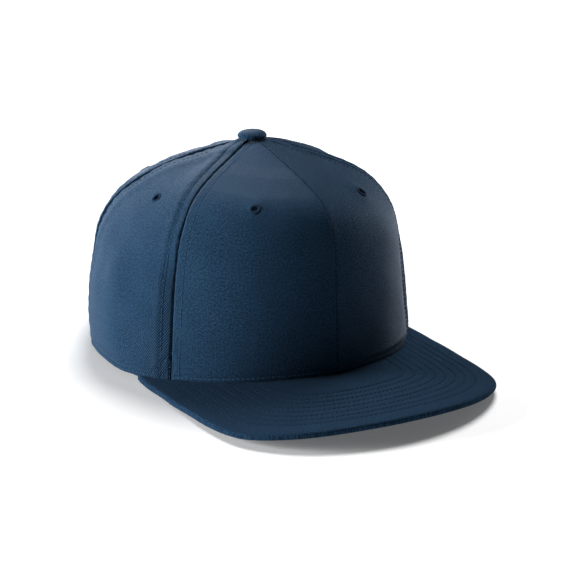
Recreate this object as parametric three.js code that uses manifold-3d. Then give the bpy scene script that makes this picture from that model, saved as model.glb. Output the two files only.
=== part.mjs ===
// A six-panel snapback cap with a flat visor, as it rests on a table by itself.
// Millimetres and degrees. The visor points to -Y, the wearer's left is +X and up is +Z.
// Every cloth wall is a slab between two matched grids of points, an outer and an inner one.
import * as THREE from "three";
import { mergeVertices } from "three/addons/utils/BufferGeometryUtils.js";
import Module from "manifold-3d";

const wasm = await Module();
wasm.setup();

// Crown: its height, and how far each seam stands from the upright axis at the rim
const CROWN_HEIGHT = 118.5;
const FRONT_REACH = 93.8;
const SIDE_SEAM_REACH = 86.5;
const REAR_SEAM_REACH = 92.5;
const BACK_BEYOND_SEAMS = 21;
const BACK_REACH = REAR_SEAM_REACH + BACK_BEYOND_SEAMS;
const SIDE_SEAM_ANGLE = 60;
const REAR_SEAM_ANGLE = 119.6;
const REAR_PANEL_LEAN = 0.23;
const CLOTH = 2;
const SEAM_GAP = 0.3;
const TIP_REACH = 4.5;

// Between the visor and the back the rim lifts a little off the table
const RIM_LIFT = 2;
const RIM_LIFT_START = 79;
const RIM_LIFT_TOP = 98;
const RIM_LIFT_END = 135;

// Reach of each seam at shares of the crown's height, as shares of its reach at the rim. The drift is
// how many degrees the right side seam lies nearer to the front than the left one
const SEAM_SHAPE = [
  { height: 0, front: 1, side: 1, rear: 1, back: 1, drift: -0.4 },
  { height: 0.15, front: 1, side: 0.979, rear: 1.009, back: 1.02, drift: -0.3 },
  { height: 0.3, front: 0.999, side: 0.965, rear: 1, back: 1.023, drift: 0 },
  { height: 0.45, front: 0.995, side: 0.945, rear: 0.972, back: 0.991, drift: 0.3 },
  { height: 0.6, front: 0.98, side: 0.926, rear: 0.933, back: 0.894, drift: 1.2 },
  { height: 0.72, front: 0.951, side: 0.843, rear: 0.831, back: 0.745, drift: 1 },
  { height: 0.82, front: 0.862, side: 0.701, rear: 0.658, back: 0.525, drift: 0.2 },
  { height: 0.9, front: 0.604, side: 0.439, rear: 0.448, back: 0.293, drift: -0.5 },
  { height: 0.96, front: 0.264, side: 0.18, rear: 0.208, back: 0.119, drift: 0 },
  { height: 1, front: 0, side: 0, rear: 0, back: 0, drift: 0 },
];

// How far each panel bows out between its seams, as a share of the straight line between them
const PANEL_BULGE = [
  { height: 0, front: 0.123, side: 0.143, rear: 0.16 },
  { height: 0.35, front: 0.115, side: 0.171, rear: 0.145 },
  { height: 0.7, front: 0.12, side: 0.073, rear: 0.126 },
  { height: 1, front: 0.12, side: 0.03, rear: 0.11 },
];

// Soft folds in the cloth: side of the cap, angle from the front, width in degrees, the share of the
// height where each starts and ends, and how far it stands out, or in, in millimetres. A fold is
// steeper for a greater steepness
const FOLD_STEEPNESS = 2;
const FOLDS = [
  { side: -1, angle: 67, width: 6, low: -0.1, high: 0.72, out: 0.9 },
  { side: 1, angle: 67, width: 6, low: -0.1, high: 0.72, out: 0.7 },
  { side: 1, angle: 66, width: 5, low: -0.12, high: 0.12, out: 1.1 },
  { side: -1, angle: 97, width: 7, low: 0.2, high: 0.8, out: -1 },
  { side: -1, angle: 88, width: 6, low: 0.15, high: 0.6, out: 0.6 },
  { side: 1, angle: 94, width: 8, low: 0.2, high: 0.75, out: -0.8 },
];

// Visor: its plan is measured from a pivot on the centre line inside the crown
const VISOR_PIVOT = 40;
const VISOR_REACH = 126.5;
const VISOR_THICKNESS = 3.6;
const VISOR_EDGE_ROUND = 1.3;
const VISOR_LIFT = 8;
const VISOR_FALL = 0.17;
const VISOR_ARCH_DROP = 7.9;
const VISOR_ARCH_HALF_WIDTH = 87;
const VISOR_CORNER_ANGLE = 74.4;
const VISOR_END_TURN = 100;
const RIM_STEP_START = 1;
const RIM_STEP_END = 11;
const RIM_GAP = 0.3;

// The visor's outline: reach from the pivot at each turn from the front, as a share of its front reach
const VISOR_SHAPE = [
  { turn: 0, reach: 1 },
  { turn: 20, reach: 0.997 },
  { turn: 38, reach: 0.959 },
  { turn: 52, reach: 0.839 },
  { turn: 62, reach: 0.758 },
  { turn: 72, reach: 0.713 },
  { turn: 84, reach: 0.68 },
  { turn: 100, reach: 0.683 },
];

// The visor's rounded edge, from its flat face to its middle: how far in from the outline, and how far
// down the rounding each point lies, as shares of the rounding
const VISOR_EDGE_SHAPE = [
  { inset: 0.3, drop: 0.3 },
  { inset: 0, drop: 1 },
];

// Button on top
const BUTTON_RADIUS = 8.1;
const BUTTON_HEIGHT = 4.1;
const BUTTON_STUD_RADIUS = 2.4;
const BUTTON_STUD_LENGTH = 5;
const BUTTON_GAP = 0.3;
const BUTTON_SHAPE = [
  { radius: 0.9, height: 0 },
  { radius: 1, height: 0.22 },
  { radius: 0.96, height: 0.55 },
  { radius: 0.78, height: 0.84 },
  { radius: 0.45, height: 0.97 },
  { radius: 0, height: 1 },
];

// Embroidered eyelets: a rim outside, a neck through the cloth and a narrow rim inside. Their places
// run from the front panel to the rear one, across the panel and up the crown, both as shares
const EYELET_PLACES = [
  { across: 0.49, height: 0.81 },
  { across: 0.44, height: 0.785 },
  { across: 0.58, height: 0.74 },
];
const EYELET_RADIUS = 3.5;
const EYELET_BORE = 1.2;
const EYELET_NECK = 1.85;
const EYELET_INNER_RADIUS = 2.9;
const EYELET_RISE = 0.8;
const EYELET_INNER_RIM = 0.6;
const EYELET_GAP = 0.35;
const EYELET_HOLE_GAP = 0.55;
const EYELET_COLLAR = 0.8;
const EYELET_SHOULDER = { radius: 0.85, rise: 0.8 };
const EYELET_LIP = { radius: 1.15, rise: 0.7 };

// Inside band
const BAND_THICKNESS = 1.5;
const BAND_HEIGHT = 32;
const BAND_GAP = 0.4;
const BAND_RISE = 0.6;
const BAND_COVER = 3;
const BAND_END_GAP = 0.6;

// Arch at the back and the tape behind its edge
const ARCH_WIDTH = 84;
const ARCH_HEIGHT = 52;
const TAPE_WIDTH = 9;
const TAPE_THICKNESS = 1;
const TAPE_GAP = 0.45;

// Snap strap: two halves that overlap in the middle, held by pegs in holes
const STRAP_WIDTH = 18;
const STRAP_THICKNESS = 1.5;
const STRAP_RISE = 2;
const STRAP_TAB = 14;
const STRAP_GAP = 0.6;
const SNAP_PITCH = 8.6;
const SNAP_MARGIN = 6;
const SNAP_COUNT = 7;
const SNAPS_ENGAGED = 4;
const PEG_NECK = 1.5;
const PEG_HEAD = 2.1;
const PEG_HEAD_HEIGHT = 1.3;
const PEG_CLEARANCE = 0.4;
const PEG_SHOULDER = { radius: 1, height: 0.2 };
const PEG_CROWN = { radius: 0.85, height: 0.75 };
const DRILL_LENGTH = 4 * STRAP_THICKNESS;

// How finely the surfaces are divided
const PANEL_COLUMNS = 10;
const PANEL_ROWS = 18;
const FAN_COLUMNS = 16;
const FAN_TIP_COLUMNS = 3;
const FAN_ROWS = 12;
const FAN_SPREAD = 1.2;
const EYELET_SPREAD = 2;
const EYELET_SEGMENTS = 12;
const BUTTON_SEGMENTS = 20;
const VISOR_COLUMNS = 20;
const VISOR_CORNER_COLUMNS = 3;
const VISOR_STATIONS = [0, 0.17, 0.34, 0.51, 0.68, 0.85, 1];
const BAND_REAR_COLUMNS = 4;
const BAND_ROWS = 3;
const TAPE_STEPS = 10;
const STRAP_STEPS = 22;
const STRAP_END_TURNS = [20, 40, 58, 74, 86];
const PEG_SEGMENTS = 10;
const DRILL_SEGMENTS = 12;

// How finely the curves are measured
const CLIMB_STEP = 0.002;
const SLOPE_STEP = 0.01;
const TURN_STEP = 0.5;
const SEARCH_HALVINGS = 30;
const BACK_STEPS = 80;
const MERGE_DISTANCE = 1e-4;

const NAVY_CLOTH = { color: 0x1c2c45, roughness: 0.92, metalness: 0 };
const DARK_CLOTH = { color: 0x16233a, roughness: 0.95, metalness: 0 };
const NAVY_PLASTIC = { color: 0x18263d, roughness: 0.45, metalness: 0 };

const RADIANS = Math.PI / 180;
const SIDES = [
  { side: 1, suffix: "left" },
  { side: -1, suffix: "right" },
];

function mix(a, b, share) {
  return a + (b - a) * share;
}

function smoothStep(value, low, high) {
  const share = Math.min(Math.max((value - low) / (high - low), 0), 1);
  return share * share * (3 - 2 * share);
}

// A smooth curve through a table's column that never swings past its rows
function curveOf(rows, column, key = "height") {
  const at = rows.map((row) => row[key]);
  const value = rows.map((row) => row[column]);
  const last = rows.length - 1;
  const width = at.slice(1).map((end, i) => end - at[i]);
  const rise = width.map((step, i) => (value[i + 1] - value[i]) / step);
  const slope = at.map((_, i) => {
    if (i === 0) return endSlope(width[0], width[1], rise[0], rise[1]);
    if (i === last) return endSlope(width[i - 1], width[i - 2], rise[i - 1], rise[i - 2]);
    if (rise[i - 1] * rise[i] <= 0) return 0;
    const before = 2 * width[i] + width[i - 1];
    const after = width[i] + 2 * width[i - 1];
    return (before + after) / (before / rise[i - 1] + after / rise[i]);
  });
  return (height) => {
    let i = 0;
    while (i < last - 1 && height > at[i + 1]) i += 1;
    const s = Math.min(Math.max((height - at[i]) / width[i], 0), 1);
    const start = value[i] * (1 + 2 * s) * (1 - s) ** 2 + width[i] * slope[i] * s * (1 - s) ** 2;
    return start + value[i + 1] * s * s * (3 - 2 * s) + width[i] * slope[i + 1] * s * s * (s - 1);
  };
}

// The slope at an end of such a curve, from its two nearest steps
function endSlope(near, far, nearRise, farRise) {
  const slope = ((2 * near + far) * nearRise - near * farRise) / (near + far);
  if (slope * nearRise <= 0) return 0;
  const tooSteep = nearRise * farRise <= 0 && Math.abs(slope) > 3 * Math.abs(nearRise);
  return tooSteep ? 3 * nearRise : slope;
}

const SEAMS = [
  { column: "front", reach: FRONT_REACH, angle: 0 },
  { column: "side", reach: SIDE_SEAM_REACH, angle: SIDE_SEAM_ANGLE },
  { column: "rear", reach: REAR_SEAM_REACH, angle: REAR_SEAM_ANGLE },
  { column: "back", reach: BACK_REACH, angle: 180 },
].map((seam) => ({
  ...seam,
  share: curveOf(SEAM_SHAPE, seam.column),
  drift: seam.column === "side" ? curveOf(SEAM_SHAPE, "drift") : () => 0,
}));

const PANELS = [
  { name: "front", lean: 0 },
  { name: "side", lean: 0 },
  { name: "rear", lean: REAR_PANEL_LEAN },
].map((panel, i) => ({
  ...panel,
  eyelet: EYELET_PLACES[i],
  start: SEAMS[i],
  end: SEAMS[i + 1],
  bulge: curveOf(PANEL_BULGE, panel.name),
}));
const [FRONT_PANEL, SIDE_PANEL, REAR_PANEL] = PANELS;

// The visor's upper face: level at the front centre, arched down to both sides
function visorTop(x, y) {
  const fall = Math.tan(VISOR_FALL * RADIANS) * (y + FRONT_REACH);
  return VISOR_LIFT + fall - VISOR_ARCH_DROP * (x / VISOR_ARCH_HALF_WIDTH) ** 2;
}

// 1 where the crown stands on the visor, 0 where its rim is free
function onVisor(angle) {
  return 1 - smoothStep(angle, VISOR_CORNER_ANGLE + RIM_STEP_START, VISOR_CORNER_ANGLE + RIM_STEP_END);
}

function rimHeight(x, y, angle) {
  const rising = smoothStep(angle, RIM_LIFT_START, RIM_LIFT_TOP);
  const falling = smoothStep(angle, RIM_LIFT_TOP, RIM_LIFT_END);
  return (visorTop(x, y) + RIM_GAP) * onVisor(angle) + RIM_LIFT * rising * (1 - falling);
}

function foldAt(side, angle, height) {
  let out = 0;
  for (const fold of FOLDS) {
    if (fold.side !== side || height < fold.low || height > fold.high) continue;
    const along = Math.sin((Math.PI * (height - fold.low)) / (fold.high - fold.low));
    out += fold.out * along * Math.exp(-(((angle - fold.angle) / fold.width) ** 2) * FOLD_STEEPNESS);
  }
  return out;
}

// A point on a seam in plan, moved across it by half of the gap
function seamPlan(seam, side, height, aside) {
  const reach = seam.reach * seam.share(height);
  const angle = seam.angle - (side < 0 ? seam.drift(height) : 0);
  const sine = Math.sin(angle * RADIANS);
  const cosine = Math.cos(angle * RADIANS);
  return new THREE.Vector2(reach * sine + aside * cosine, -reach * cosine + aside * sine);
}

// The crown's outside, on the left half: across a panel from 0 to 1, at a share of the crown's height
function outerPoint(panel, side, across, height, gap) {
  const start = seamPlan(panel.start, side, height, gap / 2);
  const end = seamPlan(panel.end, side, height, -gap / 2);
  const chord = end.clone().sub(start);
  const length = chord.length();
  const outwards = new THREE.Vector2(chord.y, -chord.x).normalize();
  const lean = 1 + panel.lean * (2 * across - 1);
  const bow = panel.bulge(height) * length * 4 * across * (1 - across) * lean;
  const angle = mix(panel.start.angle, panel.end.angle, across);
  const fold = foldAt(side, angle, height) * Math.sin(Math.PI * across);
  const plan = start.addScaledVector(chord, across).addScaledVector(outwards, bow + fold);
  const z = mix(rimHeight(plan.x, plan.y, angle), CROWN_HEIGHT, height);
  return new THREE.Vector3(plan.x, plan.y, z);
}

// A point in the crown's wall, set in from its outside by a depth
function crownPoint(panel, side, across, height, depth = 0, gap = 0) {
  const point = outerPoint(panel, side, across, height, gap);
  if (depth > 0) {
    const here = (a, h) => outerPoint(panel, side, a, h, gap);
    const before = Math.max(across - SLOPE_STEP, 0);
    const after = Math.min(across + SLOPE_STEP, 1);
    const below = Math.max(height - SLOPE_STEP, 0);
    const above = Math.min(height + SLOPE_STEP, 1);
    const round = here(after, height).sub(here(before, height));
    const up = here(across, above).sub(here(across, below));
    const normal = round.cross(up).normalize();
    for (const [edge, seam] of [[0, panel.start], [1, panel.end]]) {
      if (across !== edge) continue;
      const through = new THREE.Vector3(Math.cos(seam.angle * RADIANS), Math.sin(seam.angle * RADIANS), 0);
      normal.addScaledVector(through, -normal.dot(through)).normalize();
    }
    const angle = mix(panel.start.angle, panel.end.angle, across);
    const rim = rimHeight(point.x, point.y, angle);
    point.addScaledVector(normal, -depth);
    const innerRim = rimHeight(point.x, point.y, angle);
    if (height === 0) point.z = innerRim;
    else point.z += (innerRim - rim) * (1 - height);
  }
  point.x *= side;
  return point;
}

// The panel and the place across it at an angle from the front
function placeAt(angle) {
  const panel = PANELS.find((p) => angle <= p.end.angle);
  return { panel, across: (angle - panel.start.angle) / (panel.end.angle - panel.start.angle) };
}

function meanReach(height) {
  return SEAMS.reduce((sum, seam) => sum + seam.reach * seam.share(height), 0) / SEAMS.length;
}

// The heights at even steps of the way up the crown, from the rim to the hole under the button
function climbTable() {
  const heights = [];
  let height = 0;
  while (meanReach(height) > TIP_REACH) {
    heights.push(height);
    height += CLIMB_STEP;
  }
  const way = [0];
  for (let i = 1; i < heights.length; i += 1) {
    const inwards = meanReach(heights[i]) - meanReach(heights[i - 1]);
    way.push(way[i - 1] + Math.hypot(inwards, (heights[i] - heights[i - 1]) * CROWN_HEIGHT));
  }
  return heights.map((at, i) => ({ height: at, climb: way[i] / way[way.length - 1] }));
}

const CLIMBS = climbTable();
const TIP_HEIGHT = CLIMBS[CLIMBS.length - 1].height;

function look(from, to, value) {
  const i = Math.max(CLIMBS.findIndex((row) => row[from] >= value), 1);
  const share = (value - CLIMBS[i - 1][from]) / (CLIMBS[i][from] - CLIMBS[i - 1][from]);
  return mix(CLIMBS[i - 1][to], CLIMBS[i][to], Math.min(share, 1));
}

// Where a point of the back, seen from behind, lies on the rear panel
function backPlace(x, z) {
  const height = z / CROWN_HEIGHT;
  let low = 0;
  let high = 1;
  for (let i = 0; i < SEARCH_HALVINGS; i += 1) {
    const across = (low + high) / 2;
    if (outerPoint(REAR_PANEL, 1, across, height, 0).x > x) low = across;
    else high = across;
  }
  return { across: (low + high) / 2, climb: look("height", "climb", height) };
}

// A point of the arch's outline seen from behind, moved outwards: the turn runs from foot to top
function archPoint(turn, outwards = 0) {
  const cosine = Math.cos(turn);
  const sine = Math.sin(turn);
  const normal = new THREE.Vector2(cosine * ARCH_HEIGHT, (sine * ARCH_WIDTH) / 2).normalize();
  return new THREE.Vector2((cosine * ARCH_WIDTH) / 2, sine * ARCH_HEIGHT).addScaledVector(normal, outwards);
}

function grid(columns, rows, place) {
  return Array.from({ length: rows + 1 }, (_, row) =>
    Array.from({ length: columns + 1 }, (_, column) => place(column / columns, row / rows)),
  );
}

function plainCells() {
  return grid(PANEL_COLUMNS, PANEL_ROWS, (across, climb) => ({ across, climb }));
}

// The rear panel's grid fans out from the arch to the rear seam and the hole at the top
function fanCells() {
  const seamShare = 1 - FAN_TIP_COLUMNS / FAN_COLUMNS;
  return grid(FAN_COLUMNS, FAN_ROWS, (along, outwards) => {
    const edge = archPoint((along * Math.PI) / 2);
    const inner = backPlace(edge.x, edge.y);
    if (along === 1) inner.across = 1;
    const acrossTip = Math.max(along - seamShare, 0) / (1 - seamShare);
    const upSeam = Math.min(along / seamShare, 1);
    const way = outwards ** FAN_SPREAD;
    return {
      across: mix(inner.across, acrossTip, way),
      climb: mix(inner.climb, upSeam, way),
    };
  });
}

// The cell corner nearest to the eyelet is moved to it, with the corners around it
function seatEyelet(cells, panel) {
  const climb = look("height", "climb", panel.eyelet.height);
  const eyelet = { across: panel.eyelet.across, climb };
  let best = { distance: Infinity };
  cells.forEach((line, row) =>
    line.forEach((cell, column) => {
      const distance = Math.hypot(cell.across - eyelet.across, cell.climb - eyelet.climb);
      if (distance < best.distance) best = { distance, row, column };
    }),
  );
  const nearest = cells[best.row][best.column];
  const move = { across: eyelet.across - nearest.across, climb: eyelet.climb - nearest.climb };
  cells.slice(1, -1).forEach((line, i) =>
    line.slice(1, -1).forEach((cell, j) => {
      const steps = Math.max(Math.abs(i + 1 - best.row), Math.abs(j + 1 - best.column));
      const share = Math.min(Math.max(1 - (steps - 1) / EYELET_SPREAD, 0), 1);
      line[j + 1] = { across: cell.across + move.across * share, climb: cell.climb + move.climb * share };
    }),
  );
  return best;
}

function centreOf(points, hole) {
  return points[hole.row][hole.column];
}

// The eight cell corners around a hole's centre, in order. The cloth lies flat under the eyelet's rims
const AROUND = [[0, 1], [1, 1], [1, 0], [1, -1], [0, -1], [-1, -1], [-1, 0], [-1, 1]];

// A ring of points round a hole, turned so that each one faces its cell corner as well as it can
function holeRing(points, hole, outwards, radius) {
  const centre = centreOf(points, hole);
  const first = points[hole.row][hole.column + 1].clone().sub(centre);
  first.addScaledVector(outwards, -first.dot(outwards)).normalize();
  const second = outwards.clone().cross(first);
  const step = (2 * Math.PI) / AROUND.length;
  const lead = new THREE.Vector2();
  AROUND.forEach(([row, column], i) => {
    const away = points[hole.row + row][hole.column + column].clone().sub(centre);
    const ahead = Math.atan2(away.dot(second), away.dot(first)) - i * step;
    lead.add(new THREE.Vector2(Math.cos(ahead), Math.sin(ahead)));
  });
  return AROUND.map((_, i) => {
    const turn = lead.angle() + i * step;
    const point = centre.clone().addScaledVector(first, radius * Math.cos(turn));
    return point.addScaledVector(second, radius * Math.sin(turn));
  });
}

// A closed slab between an outer and an inner grid of points, with a round hole if one is given
function slab(outer, inner, hole = null) {
  const points = [];
  const faces = [];
  const add = (point) => points.push(point) - 1;
  const outerIndex = outer.map((line) => line.map(add));
  const innerIndex = inner.map((line) => line.map(add));
  const quad = (a, b, c, d) => faces.push([a, b, c], [a, c, d]);
  const lastRow = outer.length - 1;
  const lastColumn = outer[0].length - 1;
  for (let row = 0; row < lastRow; row += 1) {
    for (let column = 0; column < lastColumn; column += 1) {
      const nearRow = hole && (row === hole.row || row === hole.row - 1);
      if (nearRow && (column === hole.column || column === hole.column - 1)) continue;
      const o = outerIndex;
      const n = innerIndex;
      quad(o[row][column], o[row][column + 1], o[row + 1][column + 1], o[row + 1][column]);
      quad(n[row][column], n[row + 1][column], n[row + 1][column + 1], n[row][column + 1]);
    }
  }
  const border = [];
  for (let column = 0; column < lastColumn; column += 1) border.push([0, column]);
  for (let row = 0; row < lastRow; row += 1) border.push([row, lastColumn]);
  for (let column = lastColumn; column > 0; column -= 1) border.push([lastRow, column]);
  for (let row = lastRow; row > 0; row -= 1) border.push([row, 0]);
  border.forEach(([row, column], i) => {
    const [nextRow, nextColumn] = border[(i + 1) % border.length];
    quad(
      outerIndex[row][column],
      innerIndex[row][column],
      innerIndex[nextRow][nextColumn],
      outerIndex[nextRow][nextColumn],
    );
  });
  if (hole) {
    const outwards = centreOf(outer, hole).clone().sub(centreOf(inner, hole)).normalize();
    const ring = (points, radius) => holeRing(points, hole, outwards, radius).map(add);
    const outerRing = ring(outer, EYELET_NECK + EYELET_HOLE_GAP);
    const innerRing = ring(inner, EYELET_NECK + EYELET_HOLE_GAP);
    const outerCollar = ring(outer, EYELET_RADIUS + EYELET_COLLAR);
    const innerCollar = ring(inner, EYELET_RADIUS + EYELET_COLLAR);
    AROUND.forEach(([row, column], i) => {
      const next = (i + 1) % AROUND.length;
      const [nextRow, nextColumn] = AROUND[next];
      const here = [hole.row + row, hole.column + column];
      const there = [hole.row + nextRow, hole.column + nextColumn];
      const outerHere = outerIndex[here[0]][here[1]];
      const outerThere = outerIndex[there[0]][there[1]];
      const innerHere = innerIndex[here[0]][here[1]];
      const innerThere = innerIndex[there[0]][there[1]];
      quad(outerCollar[i], outerHere, outerThere, outerCollar[next]);
      quad(innerCollar[i], innerCollar[next], innerThere, innerHere);
      quad(outerRing[i], outerCollar[i], outerCollar[next], outerRing[next]);
      quad(innerRing[i], innerRing[next], innerCollar[next], innerCollar[i]);
      quad(outerRing[i], outerRing[next], innerRing[next], innerRing[i]);
    });
  }
  return geometryOf(points, faces);
}

function geometryOf(points, faces) {
  const geometry = new THREE.BufferGeometry();
  const positions = points.flatMap((point) => [point.x, point.y, point.z]);
  geometry.setAttribute("position", new THREE.Float32BufferAttribute(positions, 3));
  geometry.setIndex(faces.flat());
  geometry.computeVertexNormals();
  return geometry;
}

// On the right half the points are mirrored, so their order across is turned round
function faceOut(points, side) {
  return side > 0 ? points : points.map((line) => line.slice().reverse());
}

function mesh(name, geometry, finish) {
  const made = new THREE.Mesh(geometry, new THREE.MeshStandardMaterial(finish));
  made.name = name;
  return made;
}

function solidOf(geometry) {
  const plain = geometry.clone();
  plain.deleteAttribute("normal");
  plain.deleteAttribute("uv");
  const merged = mergeVertices(plain, MERGE_DISTANCE);
  return new wasm.Manifold(
    new wasm.Mesh({
      numProp: 3,
      vertProperties: merged.attributes.position.array,
      triVerts: new Uint32Array(merged.index.array),
    }),
  );
}

function geometryFrom(solid) {
  const cut = solid.getMesh();
  const geometry = new THREE.BufferGeometry();
  geometry.setAttribute("position", new THREE.Float32BufferAttribute(cut.vertProperties, 3));
  geometry.setIndex(Array.from(cut.triVerts));
  geometry.computeVertexNormals();
  return geometry;
}

// A ring or knob turned round its axis, with its axis moved to stand on a point and face outwards
function turned(profile, segments) {
  const outline = profile.map(([radius, along]) => new THREE.Vector2(radius, along));
  return new THREE.LatheGeometry(outline, segments);
}

function standOn(geometry, point, outwards) {
  const turn = new THREE.Quaternion().setFromUnitVectors(new THREE.Vector3(0, 1, 0), outwards);
  return geometry.applyQuaternion(turn).translate(point.x, point.y, point.z);
}

function crownPanel(panel, side) {
  const cells = panel === REAR_PANEL ? fanCells() : plainCells();
  const hole = seatEyelet(cells, panel);
  const pointsAt = (depth) =>
    cells.map((line) =>
      line.map(({ across, climb }) => {
        const height = look("climb", "height", climb);
        return crownPoint(panel, side, across, height, depth, SEAM_GAP);
      }),
    );
  const outer = faceOut(pointsAt(0), side);
  const inner = faceOut(pointsAt(CLOTH), side);
  if (side < 0) hole.column = cells[0].length - 1 - hole.column;
  return slab(outer, inner, hole);
}

function eyelet(panel, side) {
  const { across, height } = panel.eyelet;
  const at = (depth) => crownPoint(panel, side, across, height, depth, SEAM_GAP);
  const outside = at(0);
  const outwards = outside.clone().sub(at(CLOTH)).normalize();
  const inside = -CLOTH - EYELET_GAP;
  const ring = turned(
    [
      [EYELET_BORE, inside - EYELET_INNER_RIM],
      [EYELET_INNER_RADIUS, inside - EYELET_INNER_RIM],
      [EYELET_INNER_RADIUS, inside],
      [EYELET_NECK, inside],
      [EYELET_NECK, EYELET_GAP],
      [EYELET_RADIUS, EYELET_GAP],
      [EYELET_RADIUS * EYELET_SHOULDER.radius, EYELET_GAP + EYELET_RISE * EYELET_SHOULDER.rise],
      [(EYELET_RADIUS + EYELET_BORE) / 2, EYELET_GAP + EYELET_RISE],
      [EYELET_BORE * EYELET_LIP.radius, EYELET_GAP + EYELET_RISE * EYELET_LIP.rise],
      [EYELET_BORE, inside - EYELET_INNER_RIM],
    ],
    EYELET_SEGMENTS,
  );
  return standOn(ring, outside, outwards);
}

function visorOutline(turn) {
  const reach = VISOR_REACH * visorReach(Math.abs(turn));
  const angle = turn * RADIANS;
  return new THREE.Vector2(reach * Math.sin(angle), -VISOR_PIVOT - reach * Math.cos(angle));
}

const visorReach = curveOf(VISOR_SHAPE, "reach", "turn");

// A section of the visor from the crown to its edge: the share along the crown's rim runs from -1 to 1
function visorSection(share, face) {
  const { panel, across } = placeAt(Math.abs(share) * VISOR_CORNER_ANGLE);
  const side = share < 0 ? -1 : 1;
  const inner = crownPoint(panel, side, across, 0, CLOTH);
  const turn = share * VISOR_END_TURN;
  const edge = visorOutline(turn);
  const along = visorOutline(turn + TURN_STEP).sub(visorOutline(turn - TURN_STEP)).normalize();
  const inwards = new THREE.Vector2(-along.y, along.x);
  const shoulder = edge.clone().addScaledVector(inwards, VISOR_EDGE_ROUND);
  const thick = face > 0 ? 0 : VISOR_THICKNESS;
  const line = VISOR_STATIONS.map((out) => {
    const x = mix(inner.x, shoulder.x, out);
    const y = mix(inner.y, shoulder.y, out);
    return new THREE.Vector3(x, y, visorTop(x, y) - thick);
  });
  for (const { inset, drop } of VISOR_EDGE_SHAPE) {
    const point = edge.clone().addScaledVector(inwards, VISOR_EDGE_ROUND * inset);
    const z = visorTop(point.x, point.y) - thick - face * VISOR_EDGE_ROUND * drop;
    line.push(new THREE.Vector3(point.x, point.y, z));
  }
  return line;
}

// Shares along the rim with a section at each seam and closer ones at the visor's front corners
function visorShares() {
  const seam = SIDE_SEAM_ANGLE / VISOR_CORNER_ANGLE;
  const half = [];
  for (let i = 1; i <= VISOR_COLUMNS; i += 1) half.push((seam * i) / VISOR_COLUMNS);
  for (let i = 1; i <= VISOR_CORNER_COLUMNS; i += 1) half.push(mix(seam, 1, i / VISOR_CORNER_COLUMNS));
  return [...half.map((share) => -share).reverse(), 0, ...half];
}

function visor() {
  const shares = visorShares();
  const across = (face) => {
    const sections = shares.map((share) => visorSection(share, face));
    return sections[0].map((_, row) => sections.map((section) => section[row]).reverse());
  };
  return slab(across(1), across(-1));
}

function button() {
  const rim = crownPoint(FRONT_PANEL, 1, 0.5, TIP_HEIGHT);
  const base = rim.z + BUTTON_GAP;
  const knob = turned(
    [
      [0, -BUTTON_STUD_LENGTH],
      [BUTTON_STUD_RADIUS, -BUTTON_STUD_LENGTH],
      [BUTTON_STUD_RADIUS, 0],
      ...BUTTON_SHAPE.map(({ radius, height }) => [BUTTON_RADIUS * radius, BUTTON_HEIGHT * height]),
    ],
    BUTTON_SEGMENTS,
  );
  return standOn(knob, new THREE.Vector3(0, 0, base), new THREE.Vector3(0, 0, 1));
}

const STRAP_MIDDLE = STRAP_RISE + STRAP_WIDTH / 2;

// The way along the back's curve at the strap's mid height, from the back centre round the rear panel
function backCurve() {
  const rows = [];
  let way = 0;
  for (let i = 0; i <= BACK_STEPS; i += 1) {
    const across = 1 - i / BACK_STEPS;
    const point = outerPoint(REAR_PANEL, 1, across, STRAP_MIDDLE / CROWN_HEIGHT, 0);
    if (i > 0) way += point.distanceTo(rows[i - 1].point);
    rows.push({ way, across, point });
  }
  return rows;
}

const BACK = backCurve();

// A point behind the back's wall: the way runs from the back centre, and to the left side counts up
function backPoint(way, depth, z) {
  const i = Math.max(BACK.findIndex((row) => row.way >= Math.abs(way)), 1);
  const share = (Math.abs(way) - BACK[i - 1].way) / (BACK[i].way - BACK[i - 1].way);
  const across = mix(BACK[i - 1].across, BACK[i].across, share);
  const point = crownPoint(REAR_PANEL, way < 0 ? -1 : 1, across, z / CROWN_HEIGHT, depth);
  point.z = z;
  return point;
}

// How far along the back curve the arch's edge stands, and how deep each layer behind the cloth lies
const ARCH_FOOT = BACK.find((row) => row.point.x >= ARCH_WIDTH / 2).way;
const TAPE_DEPTH = CLOTH + TAPE_GAP;
const STRAP_DEPTH = TAPE_DEPTH + TAPE_THICKNESS + STRAP_GAP;
const STRAP_OVERLAP = (SNAPS_ENGAGED - 1) * SNAP_PITCH + 2 * SNAP_MARGIN;

// The inside strap half lies one layer deeper where the other half covers it
function strapDepth(way, inside) {
  if (!inside) return STRAP_DEPTH;
  const clear = STRAP_OVERLAP / 2 + SNAP_MARGIN;
  const covered = 1 - smoothStep(-way, clear, ARCH_FOOT);
  return STRAP_DEPTH + covered * (STRAP_THICKNESS + STRAP_GAP);
}

// One half of the strap, from its tab behind the arch's edge to its round free end
function strapSlab(side, inside) {
  const root = side * (ARCH_FOOT + STRAP_TAB);
  const tip = (-side * STRAP_OVERLAP) / 2;
  const radius = STRAP_WIDTH / 2;
  const straight = tip + side * radius;
  const stations = [];
  for (let i = 0; i <= STRAP_STEPS; i += 1) {
    stations.push({ way: mix(root, straight, i / STRAP_STEPS), half: radius });
  }
  for (const turn of STRAP_END_TURNS) {
    const way = straight - side * radius * Math.sin(turn * RADIANS);
    stations.push({ way, half: radius * Math.cos(turn * RADIANS) });
  }
  const face = (depth) => {
    const lines = [-1, 1].map((up) =>
      stations.map(({ way, half }) => {
        return backPoint(way, strapDepth(way, inside) + depth, STRAP_MIDDLE + up * half);
      }),
    );
    return side > 0 ? lines : lines.map((line) => line.slice().reverse());
  };
  return slab(face(0), face(STRAP_THICKNESS));
}

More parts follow.
